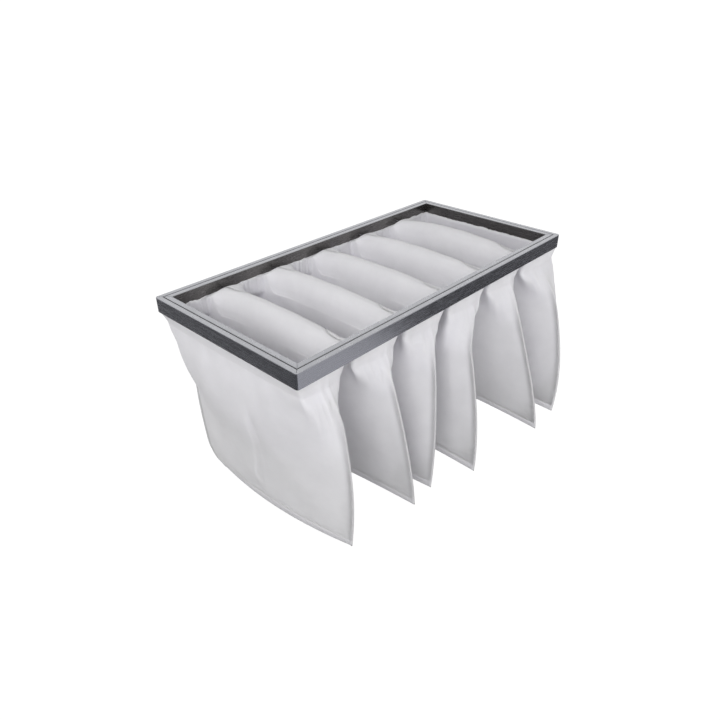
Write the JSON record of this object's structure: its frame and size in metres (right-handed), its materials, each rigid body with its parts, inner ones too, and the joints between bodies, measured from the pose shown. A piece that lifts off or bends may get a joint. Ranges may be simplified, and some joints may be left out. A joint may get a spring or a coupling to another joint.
{
  "type": "bag air filter",
  "caption": "Rectangular bag air filter: a slim folded steel header that holds a row of sewn white felt pockets, open at the top and tapering to flat bottom seams.",
  "frame": {"origin": "middle of the flat outer flange on the header's face, along its near long side; the header's face is the plane Z = 0 and the pockets hang below it", "axes": "+X along the header's length, +Y across the header to the far long side, +Z out of the header's face, against the air flow"},
  "size_m": [0.5967, 0.3738, 0.3012],
  "materials": {
    "galvanised_strip": "galvanised sheet, smooth, dark in reflection",
    "zinc_coated_channel": "galvanised sheet, satin",
    "needle_felt": "white needled polyester felt, matt",
    "spring_wire": "drawn steel wire, hidden in the felt"
  },
  "bodies": {
    "root": {"outer_frame": "galvanised_strip", "clamping_frame": "zinc_coated_channel", "pocket_1": "needle_felt", "pocket_2": "needle_felt", "pocket_3": "needle_felt", "pocket_4": "needle_felt", "pocket_5": "needle_felt", "pocket_6": "needle_felt", "crest_wire_1": "spring_wire", "crest_wire_2": "spring_wire", "crest_wire_3": "spring_wire", "crest_wire_4": "spring_wire", "crest_wire_5": "spring_wire"}
  },
  "joints": []
}
